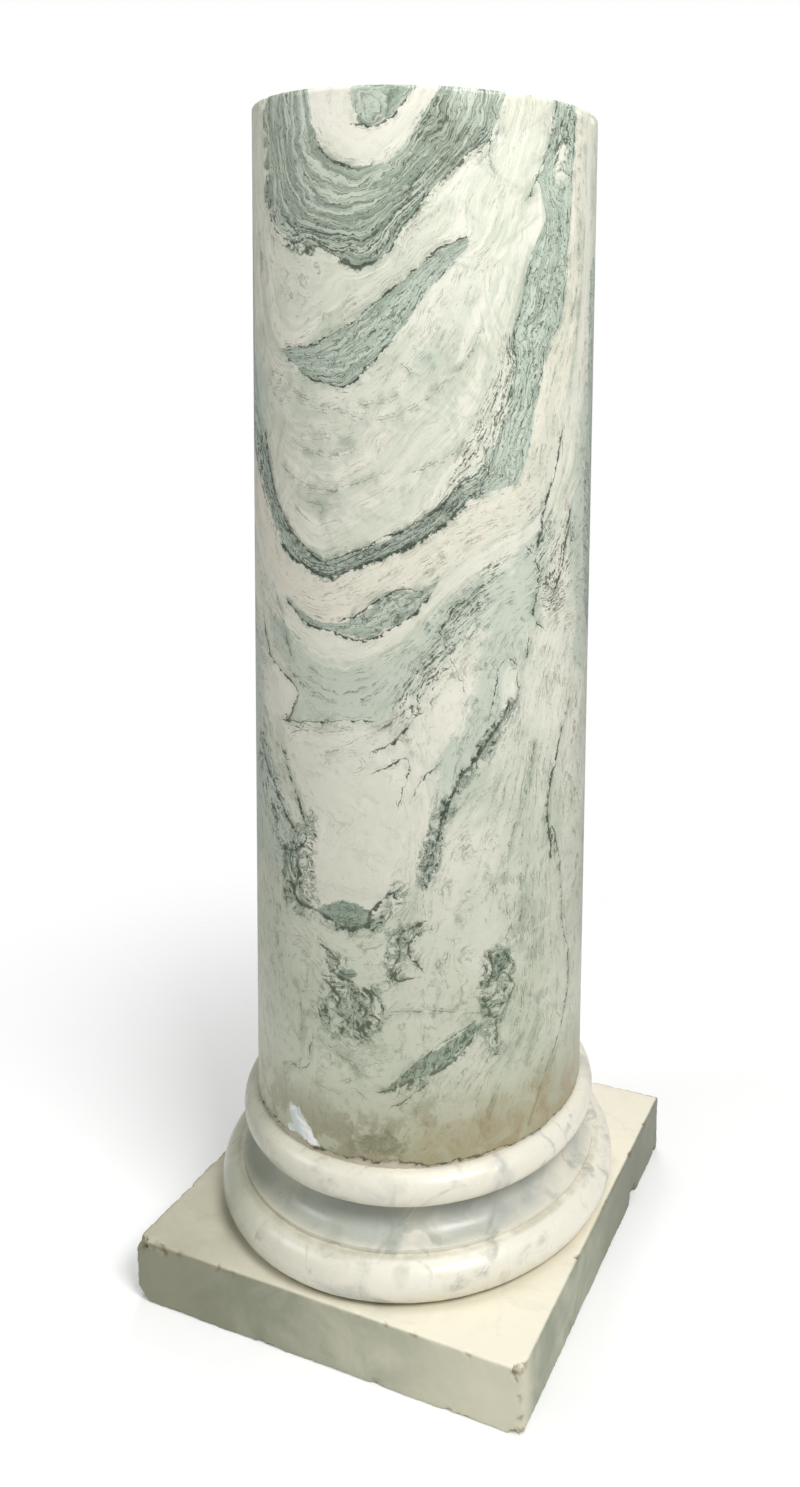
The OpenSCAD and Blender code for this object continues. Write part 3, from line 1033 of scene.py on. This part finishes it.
# %% List the shaft's chips
RIM_CHIPS = [
    # angle, height below the top, width, depth
    (-124, 2, 16, 3.0),
    (-117, 0, 9, 2.0),
    (-128, 18, 12, 1.4),
    (-104, 0, 7, 1.4),
    (-78, 0, 8, 1.6),
    (-55, 0, 6, 1.4),
    (-30, 0, 7, 1.5),
    (-8, 1, 11, 2.4),
    (5, 3, 14, 2.6),
    (60, 0, 18, 3.5),
    (115, 0, 12, 2.5),
    (160, 2, 22, 4.0),
    (205, 0, 10, 2.5),
]
PITS = [
    # angle, height, width, depth
    (-84, 220, 9, 2.2),
    (-121, 182, 16, 3.0),
    (-124, 950, 7, 1.0),
]
FOOT_EDGE = [
    # angle, height of the ragged lower edge above the base
    (-180, 4), (-135, 3), (-122, 9), (-113, 9), (-106, 12), (-100, 9), (-90, 11), (-80, 12), (-70, 11),
    (-60, 6), (-50, 6.5), (-40, 8), (-30, 6), (-20, 4), (0, 4), (60, 6), (100, 9), (140, 5), (180, 4),
]

# %% Wear the shaft
broad, fine = rough(drum, 30, octaves=3, seed=4.4), rough(drum, 6, octaves=4, seed=9.2)
below_top, above_foot = HEAD - heights, heights - FOOT
arris = 1.4 * rise(-below_top, -2.2, 0.2)
edge = 0.62 * np.interp(angle, *zip(*FOOT_EDGE)) + 2.6 * fine + 1.6 * broad
foot_bite = (2.6 + 0.9 * fine) * rise(edge - above_foot, -0.8, 1.0)
bite = np.maximum(arris * (1 + 0.5 * fine), foot_bite)
rim_chips = [(turn, HEAD - down, width, deep) for turn, down, width, deep in RIM_CHIPS]
bite = dented(bite, angle, heights, SHAFT_R, rim_chips, 0.55 * fine, 1.15, 0.25)
bite = dented(bite, angle, heights, SHAFT_R, PITS, 0.5 * fine, 1.1, 0.2)
bite = np.clip(bite + 0.12 * broad, 0, 6) * rise(reach, SHAFT_R - 30, SHAFT_R - 2)
drum[:, :2] *= (1 - bite / np.maximum(reach, 1))[:, None]
hollows = 0.8 * rise(rough(drum, 40, octaves=4, seed=7.7), 0.1, 0.8)
drum[:, 2] -= hollows * (below_top < 0.1) * (reach < SHAFT_R - 8)
move_to(shaft, drum)
keep_field(shaft, "bed", edge - above_foot)
on_right = rise(angle, -82, -48) * rise(-angle, -40, 5)
foot_stain = rise(-heights, -262, -182) * (0.4 + 0.6 * on_right)
olive_stain = 0.7 * np.exp(-(((angle + 57) / 7) ** 2) - ((heights - 1092) / 26) ** 2)
keep_field(shaft, "stain", np.maximum(foot_stain, olive_stain))
print("deepest wear of the shaft, mm:", round(bite.max(), 2))
SMOOTH_BELOW = math.radians(40)
for piece in (plinth, base, shaft):
    work_on(piece)
    bpy.ops.object.shade_smooth_by_angle(angle=SMOOTH_BELOW)

# %% [markdown]
# ## The shaft unrolled
#
# When the finish is turned into a picture, each face needs its own place on a flat sheet. The
# wall of a column unrolls into one upright sheet, and its two ends lie above it as discs. A
# face that crosses the seam is kept whole by letting its far side run past the sheet's end.

# %% Unroll the shaft
SHEET_TOP, SHEET_RIM, DISC = 0.80, 0.004, 0.092
sheet = shaft.data.uv_layers.new(name="OFBake")
corner = np.empty(len(shaft.data.loops), dtype=np.int32)
shaft.data.loops.foreach_get("vertex_index", corner)
sides_of_face = np.empty(len(shaft.data.polygons), dtype=np.int32)
shaft.data.polygons.foreach_get("loop_total", sides_of_face)
face_of_corner = np.repeat(np.arange(len(sides_of_face)), sides_of_face)
turned = (np.arctan2(drum[:, 1], drum[:, 0]) / (2 * np.pi) % 1)[corner]
furthest = np.maximum.reduceat(turned, np.r_[0, np.cumsum(sides_of_face)[:-1]])[face_of_corner]
turned = np.where(furthest - turned > 0.5, turned + 1, turned)
turned = turned / turned.max() * (1 - 2 * SHEET_RIM) + SHEET_RIM
up = (drum[corner, 2] - FOOT) / (HEAD - FOOT)
end_corner = on_end[face_of_corner]
across = drum[corner, 0] / SHAFT_R * DISC + np.where(up > 0.5, 0.25, 0.75)
along_disc = drum[corner, 1] / SHAFT_R * DISC + (1 + SHEET_TOP) / 2
flat = np.column_stack([
    np.where(end_corner, across, turned),
    np.where(end_corner, along_disc, SHEET_RIM + up * (SHEET_TOP - 2 * SHEET_RIM)),
])
sheet.data.foreach_set("uv", flat.astype(np.float32).ravel())
print("unrolled", len(corner), "corners")

# %% [markdown]
# ## The green marble
#
# Everything in this stone follows its layers. Plain noise would give clouds with no grain, and
# ready-made wave patterns would be too even. So fine noise is stretched along the layers for the
# streaks, the same noise frays the edges of the patches, and the darkest grains gather in the
# green. Colours are kept few: creams, sages and greys, and a near-black green for the cracks.

# %% Name the colours
CREAM, WARM, SAGE = tint(238, 236, 221), tint(236, 229, 211), tint(203, 210, 190)
BLUE_GREY, GREEN, DEEP = tint(198, 208, 193), tint(146, 160, 143), tint(80, 95, 78)
INK, WHITE, TEAL = tint(46, 57, 43), tint(250, 250, 245), tint(146, 168, 152)
LICHEN, DUSK, SWIRL = tint(146, 154, 130), tint(200, 204, 186), tint(150, 156, 132)
FLOW, REED, FROST = tint(118, 126, 100), tint(142, 163, 148), tint(204, 219, 203)
MOSS, BLOT, OLIVE = tint(146, 153, 115), tint(116, 112, 86), tint(112, 116, 86)
# The crevice colour is painted shade under the broken edge; brown and mortar are the stone's own.
BROWN, MORTAR, CREVICE_SHADE = tint(158, 138, 100), tint(212, 204, 184), tint(82, 80, 60)
CHALK = tint(206, 213, 210)
print("cream and ink, linear:", [round(v, 3) for v in CREAM[:3] + INK[:3]])

# %% Stretch noise along the layers
marble = Stone("green_marble")
height, depth = marble.along(2), marble.field("strata")
drift = marble.cloud(9, 4, 0.55)
curl = marble.cloud(32, 5, 0.62, twist=0.8)
crinkle = marble.cloud(110, 4, 0.65)
grain = marble.cloud(300, 3, 0.65)
crackle = marble.cloud(70, 6, 0.68, twist=1.8)
pool = marble.cloud(6.5, 4, 0.5, twist=2.6)
ply = depth + (drift - 0.5) * 40 + (curl - 0.5) * 14 + (crinkle - 0.5) * 2.4


def streaks(fineness, seed, stretch=(15, 15, 10), detail=5.0, roughness=0.66):
    """Noise that changes fast across the layers and slowly along them."""
    scaled, added = {"operation": "MULTIPLY"}, {"operation": "ADD"}
    slow = marble.node("ShaderNodeVectorMath", scaled, {0: marble.place, 1: stretch})
    run = marble.node("ShaderNodeCombineXYZ", {}, {0: ply * fineness, 1: seed})
    laid_along = marble.node("ShaderNodeVectorMath", added, {0: slow, 1: run})
    return marble.cloud(1.0, detail, roughness, place=laid_along)


wide, narrow, hair = streaks(0.05, 3), streaks(0.14, 7), streaks(0.42, 11)
dashes = streaks(0.55, 5, (95, 95, 60), 4.0, 0.7)
rags = streaks(0.22, 9, (34, 34, 24), 5.0, 0.7)
calm = streaks(0.075, 13, (9, 9, 7), 2.5, 0.5)
print("noise made of", len(marble.tree.nodes), "nodes")

# %% Fray the patches
packed = marble.field("tight").step(0.35, 1.3)
fray = (curl - 0.5) * 14 + (rags - 0.5) * 20 + (crinkle - 0.5) * 8 + (grain - 0.5) * 3
ragged = marble.field("flecked").step(-12, 8) * 0.9 + 0.6
in_green = (marble.field("green") + fray * ragged).step(-0.9, 1.3)
in_sage = (marble.field("sage") + fray * 1.6).step(-5, 6)
in_cream = (marble.field("cream") + fray * 0.45).step(-2, 2.5)
in_warm = (marble.field("warm") + fray * 0.5).step(-3, 4)
in_flecks = (marble.field("flecked") + fray).step(-10, 6)
in_knots = (marble.field("knotted") + fray).step(-4, 3)
in_pool = depth.step(150, 200) * depth.step(292, 265)
print("patches frayed:", len(marble.tree.nodes), "nodes")

# %% [markdown]
# The pale ground is laid coat over coat, each with its own share: broad bands first, then the
# patches, then thinner and thinner lines.

# %% Mix the pale ground
lower_half = (1 - height.step(0.30, 0.62)) * (0.6 - marble.along(0).step(0.0, 0.15) * 0.35)
contours = (calm * 9).part().lines(0.09) * curl.step(0.40, 0.62) * (1 - in_cream * 0.5)
shades = abs((calm * 4).part() - 0.5).step(0.10, 0.40)
pool_shades = in_pool * (pool * 3.5).part().step(0.35, 0.75)
pool_lines = in_pool * (pool * 7).part().lines(0.34) * crinkle.step(0.34, 0.58)
calmer = 1 - in_pool * 0.7
threads = narrow.lines(0.018, 0.002) * crinkle.step(0.40, 0.62) * (1 - in_cream * 0.6) * calmer
threads = threads * (packed * 0.4 + 0.5 + in_sage * 0.3)
quiet_ply = depth + (curl - 0.5) * 9 + (drift - 0.5) * 14
flow_lines = (quiet_ply * 0.19).part().lines(0.10) * crinkle.step(0.38, 0.60)
flow_lines = flow_lines * curl.step(0.36, 0.56) * depth.step(455, 500)
rag_threads = rags.lines(0.016) * curl.step(0.44, 0.60) * (1 - in_cream * 0.6) * calmer
fine_threads = hair.lines(0.02) * curl.step(0.46, 0.62) * (1 - in_cream * 0.7) * (1 - in_pool * 0.6)
mottle = (crinkle * 0.5 + crackle * 0.5).step(0.50, 0.36)
ground = marble.lay(
    marble.mix(wide.step(0.42, 0.58) * (packed * 0.6 + 0.4), SAGE, CREAM),
    (drift.step(0.38, 0.56) * (1 - packed * 0.4), CREAM),
    (curl.step(0.52, 0.70) * 0.6, WARM),
    (narrow.step(0.46, 0.36) * (packed * 0.5 + 0.2), SAGE),
    (hair.step(0.58, 0.70) * (packed * 0.35 + 0.12), SAGE),
    (lower_half, SAGE),
    (in_sage * 0.8, BLUE_GREY),
    (in_cream * 0.7, CREAM),
    (contours * 0.6, LICHEN),
    (shades * 0.18, DUSK),
    (pool_shades * 0.16, BLUE_GREY),
    (pool_lines * 0.24, SWIRL),
    (in_warm * 0.55, WARM),
    (threads * 0.8, DEEP),
    (flow_lines * 0.7, FLOW),
    (rag_threads * 0.45, DEEP),
    (fine_threads * 0.6, GREEN),
    (mottle * 0.26, BLUE_GREY),
)
print("ground mixed:", len(marble.tree.nodes), "nodes")

# %% Mix the green body
past_fold = depth.step(84, 110)
swirls = (curl * 8 + calm * 8).part().lines(0.13) * crinkle.step(0.34, 0.56)
body = marble.lay(
    marble.mix(narrow.step(0.40, 0.62), GREEN, BLUE_GREY),
    (hair.step(0.50, 0.62) * 0.8, SAGE),
    (crinkle.step(0.58, 0.72) * 0.5, CREAM),
    (past_fold * 0.68, BLUE_GREY),
    ((1 - height.step(0.40, 0.52)) * 0.7, REED),
    (past_fold * height.step(0.78, 0.85) * 0.28, FROST),
    (hair.lines(0.035, level=0.47) * 0.65, DEEP),
    (narrow.lines(0.02) * 0.7, DEEP),
    (swirls * past_fold * 0.8, INK),
)
print("body mixed:", len(marble.tree.nodes), "nodes")

# %% Draw the flecks, knots and veins
speck = dashes * 0.7 + grain * 0.3 + in_flecks * 0.066 + in_green * 0.012
flecks = speck.step(0.585, 0.622) * in_flecks.most(in_green) * (1 - in_cream * 0.9)
knot_lines = crackle.lines(0.018, 0.006) + (crackle * 0.7 + dashes * 0.3).step(0.545, 0.57)
vein_gap, vein_width = marble.field("vein_gap"), marble.field("vein_width")
off_vein = marble.field("vein") + (curl - 0.5) * 12 + (crinkle - 0.5) * 7 + (grain - 0.5) * 2.4
thick = vein_width * (narrow.step(0.3, 0.7) * 0.5 + crinkle.step(0.38, 0.60) * 0.6)
faint = vein_width.step(0.6, 1.5) * 0.6 + crinkle.step(0.36, 0.62) * 0.5
crack = (abs(off_vein) - thick * 0.78).step(0.35, -0.4) * vein_gap.step(7.5, 4.5) * faint.least(1.0)
twin = (abs(abs(off_vein) - 2.6) - 0.1).step(0.4, 0.0) * vein_gap.step(6, 2)
twin = twin * crinkle.step(0.48, 0.6) * 0.6
halo = vein_gap.step(9, 1) * curl.step(0.42, 0.62) * (1 - in_cream * 0.6)
dark = crack.most(twin) * (grain.step(0.25, 0.55) * 0.35 + 0.65)
dark = dark.most(flecks * 0.88).most(knot_lines.least(1.0) * in_knots)
print("dark lines drawn:", len(marble.tree.nodes), "nodes")

# %% Stain the foot and lay the plaster
# Darker and greener towards the foot.
low_down = (1 - height.step(0.24, 0.56)) * 0.24 + (1 - height.step(0.17, 0.28)) * 0.38
blots = (drift * 0.5 + curl * 0.3 + crinkle * 0.2).step(0.50, 0.53) * height.step(0.245, 0.20)
stain = marble.field("stain") * (curl.step(0.3, 0.6) * 0.6 + 0.4)
stain_colour = marble.mix(height.step(0.9, 1.0), BROWN, OLIVE)
bed = marble.field("bed") + (crinkle - 0.5) * 7 + (grain - 0.5) * 2
bedding = bed.step(-0.6, 0.8)
plastered = (marble.field("plaster") + (crinkle - 0.5) * 12 + (grain - 0.5) * 4).step(-0.5, 1.0)
plaster_colour = marble.mix(curl.step(0.4, 0.6), CHALK, WHITE)
stone_colour = marble.lay(
    marble.mix(in_green, ground, body),
    (in_knots * crackle.step(0.47, 0.54) * 0.6, TEAL),
    (halo * 0.45, GREEN),
    (dark * 0.93, INK),
    (low_down, MOSS),
    (blots * 0.45, BLOT),
    (stain * 0.75, stain_colour),
    (bedding * 0.85, MORTAR),
    # Painted shade: a thin dark line where the broken edge overhangs the plaster bed.
    (abs(bed).step(1.7, 0.4) * 0.85, CREVICE_SHADE),
    (plastered, plaster_colour),
)
pitted = grain * 0.5 + curl * 0.6 - dark * 0.5 + plastered * 0.8
marble.give("Base Color", stone_colour)
marble.give("Roughness", 0.36 + dark * 0.15 + bedding * 0.3 + plastered * 0.3 + (grain - 0.5) * 0.12)
marble.give("Normal", marble.bump(pitted, 0.0006, 0.5))
print("green marble of", len(marble.tree.nodes), "nodes")

# %% [markdown]
# ## The white marble of the base and the slab
#
# The base is a whiter stone with soft grey clouds and a few thin grey lines. Painted shade lies in
# its hollow, in its creases, under its upper roll, along its foot and on its left, and the slab is the
# same stone, duller, with its sides painted as in shade and light, a painted shadow over its left,
# painted shade in a ring round the base, and brown in its chips.

# %% Mix a white marble
def white_marble(name, clean, grey, grime, grime_share, veining, dullness):
    """White stone with soft grey clouds, thin lines and a share of grime."""
    stone = Stone(name)
    mist = stone.cloud(13, 5, 0.6, twist=0.8)
    smoke = stone.cloud(30, 4, 0.6, twist=1.2)
    speck = stone.cloud(420, 2, 0.6)
    thin = stone.cloud(7, 5, 0.55, twist=1.5).lines(0.035)
    colour = stone.lay(
        clean,
        (mist.step(0.52, 0.74) * 0.5 * veining, grey),
        (thin * smoke.step(0.42, 0.6) * 0.4 * veining, grey),
        (smoke.step(0.58, 0.76) * 0.45 * veining, grey),
        (grime_share, grime),
        (speck.step(0.66, 0.72) * 0.15, grime),
    )
    stone.give("Roughness", dullness + (smoke - 0.5) * 0.2)
    stone.give("Normal", stone.bump(speck * 0.4 + smoke * 0.6, 0.0005, 0.45))
    return stone, colour


# %% Paint shade and dirt on the base
BASE_WHITE, BASE_GREY, BASE_GRIME = tint(238, 234, 219), tint(160, 166, 162), tint(214, 206, 182)
# The hollow, roll and left colours here and the groove and joint colours on the next line are painted shade;
# the smudge is the stone's own.
HOLLOW_CLOUDS_AND_SHADE, ROLL_SHADE, LEFT_SHADE = tint(164, 174, 170), tint(116, 121, 106), tint(154, 157, 136)
SMUDGE, GROOVE_SHADE, JOINT_SHADE = tint(168, 171, 156), tint(160, 152, 124), tint(104, 102, 80)
turned_stone, clean_base = white_marble(
    "base_marble", BASE_WHITE, BASE_GREY, BASE_GRIME, grime_share=0.09, veining=1.25, dullness=0.3
)
cloud, kept = turned_stone.cloud, turned_stone.field
across, up = turned_stone.along(0), turned_stone.along(2)
# The stone's blue-grey clouds in the hollow, with painted shade added, stronger towards the left.
hollow_clouds_and_shade = kept("hollow") * cloud(13, 5, 0.6, twist=0.6).step(0.26, 0.60)
hollow_clouds_and_shade = hollow_clouds_and_shade * (across.step(0.17, -0.12) * 0.5 + 0.5)
# Painted shade in a band just under the upper roll.
shade_under_roll = up.step(0.108, 0.134) * up.step(0.143, 0.137) * (cloud(20, 4, 0.6) * 0.7 + 0.35)
# Painted shade: the base grows darker towards its left side.
on_left = across.step(0.10, -0.14) * (cloud(12, 3, 0.5) * 0.8 + 0.3)
smudge = cloud(30, 4, 0.6, twist=0.8).step(0.50, 0.66) * cloud(9, 3, 0.5).step(0.42, 0.58)
base_colour = turned_stone.lay(
    clean_base,
    (hollow_clouds_and_shade * 0.8, HOLLOW_CLOUDS_AND_SHADE),
    (shade_under_roll * 0.85, ROLL_SHADE),
    (on_left * 0.9, LEFT_SHADE),
    (smudge * 0.5, SMUDGE),
    # Painted shade in the crease at the fillet and under the upper roll, broken up by noise.
    (kept("groove") * cloud(40, 3, 0.6).step(0.3, 0.6) * 0.4, GROOVE_SHADE),
    # Painted contact shade at the bottom edge.
    (kept("joint") * cloud(90, 3, 0.6).step(0.25, 0.6) * 0.8, JOINT_SHADE),
)
turned_stone.give("Base Color", base_colour)
print("base marble of", len(turned_stone.tree.nodes), "nodes")

# %% Paint shade and dirt on the slab
SLAB_WHITE, SLAB_GREY, SLAB_GRIME = tint(242, 237, 219), tint(182, 183, 165), tint(206, 198, 168)
# The side colours are painted shade, save one lit colour that is painted light; the top and ring colours are
# painted shade; the chip brown is the stone's own.
SIDE_SHADE, SIDE_PALE_SHADE, SIDE_SPOT_SHADE = tint(136, 142, 122), tint(176, 176, 154), tint(124, 130, 110)
SIDE_LIT, SIDE_LEFT_SHADE, SIDE_BACK_SHADE = tint(214, 210, 186), tint(88, 96, 80), tint(104, 108, 88)
SLAB_SHADOW, RING_SHADE, CHIP_BROWN = tint(132, 130, 106), tint(112, 108, 84), tint(122, 110, 82)
slab_stone, clean_slab = white_marble(
    "plinth_marble", SLAB_WHITE, SLAB_GREY, SLAB_GRIME, grime_share=0.15, veining=0.35, dullness=0.5
)
across, back = slab_stone.along(0), slab_stone.along(1)
blotch = slab_stone.cloud(16, 5, 0.62, twist=0.6)
fine_blotch = slab_stone.cloud(60, 4, 0.6)
in_front = back.step(-0.17, -0.195)
at_right = across.step(0.17, 0.195) * back.step(-0.11, 0.06)
# The sides: the stone's own mottling, painted darker than the top as shade.
shaded_side_colour = slab_stone.lay(
    slab_stone.mix(blotch.step(0.34, 0.70), SIDE_SHADE, SIDE_PALE_SHADE),
    (fine_blotch.step(0.48, 0.75) * 0.25, SIDE_SPOT_SHADE),
    # Painted light: the front face lighter towards its right.
    (across.step(-0.02, 0.19) * in_front * 0.75, SIDE_LIT),
    # Painted shade: the front face darker towards its left.
    (across.step(0.02, -0.17) * in_front * 0.5, SIDE_LEFT_SHADE),
    # Painted shade on the back half of the right face.
    (at_right * 0.7, SIDE_BACK_SHADE),
)
slab_colour = slab_stone.lay(
    clean_slab,
    (slab_stone.field("side_face"), shaded_side_colour),
    # Painted shadow of the column over the left part of the slab, broken by blotches.
    (across.step(0.06, -0.17) * (blotch * 0.5 + 0.45) * 0.9, SLAB_SHADOW),
    # Painted contact shade round the foot of the base.
    (slab_stone.field("joint") * 0.75, RING_SHADE),
    (slab_stone.field("chipped") * fine_blotch.step(0.35, 0.62) * 0.8, CHIP_BROWN),
)
slab_stone.give("Base Color", slab_colour)
print("slab marble of", len(slab_stone.tree.nodes), "nodes")

# %% Finish the pieces
finish_piece(plinth, "worn_plinth", "plinth", slab_stone.material)
finish_piece(base, "turned_base", "base", turned_stone.material)
finish_piece(shaft, "veined_shaft", "shaft", marble.material)
